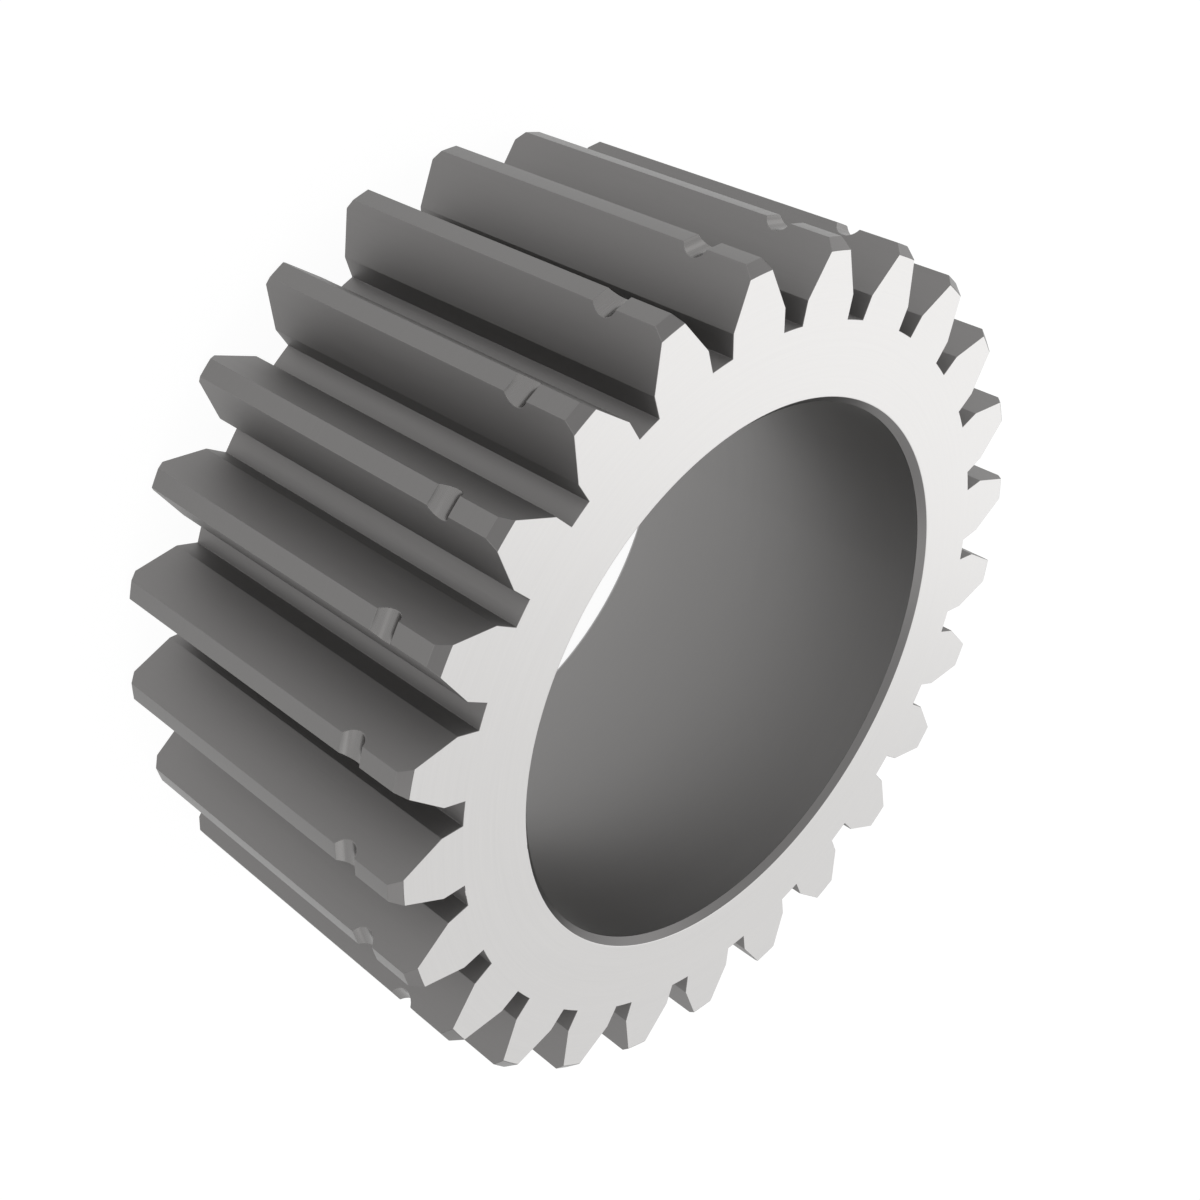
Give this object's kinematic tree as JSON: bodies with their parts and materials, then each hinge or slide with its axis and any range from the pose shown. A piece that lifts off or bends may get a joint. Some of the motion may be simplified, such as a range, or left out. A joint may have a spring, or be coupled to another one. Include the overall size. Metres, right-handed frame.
{
  "type": "planet gear",
  "caption": "Straight-toothed steel planet gear with a wide plain bore for its bearing and a shallow marking groove round the tooth tips near one end.",
  "frame": {"origin": "centre of the bore's axis in the plane of the plain end face, on which the gear stands", "axes": "+Z along the bore's axis from the plain end face to the end marked with a groove; +X through the middle of one tooth; +Y completes the right-handed frame"},
  "size_m": [0.0942, 0.0944, 0.0433],
  "materials": {
    "ground_steel": "case-hardened gear steel, end faces and bore ground, flanks and tips finely machined, no coating"
  },
  "bodies": {
    "root": {"planet_gear": "ground_steel"}
  },
  "joints": []
}
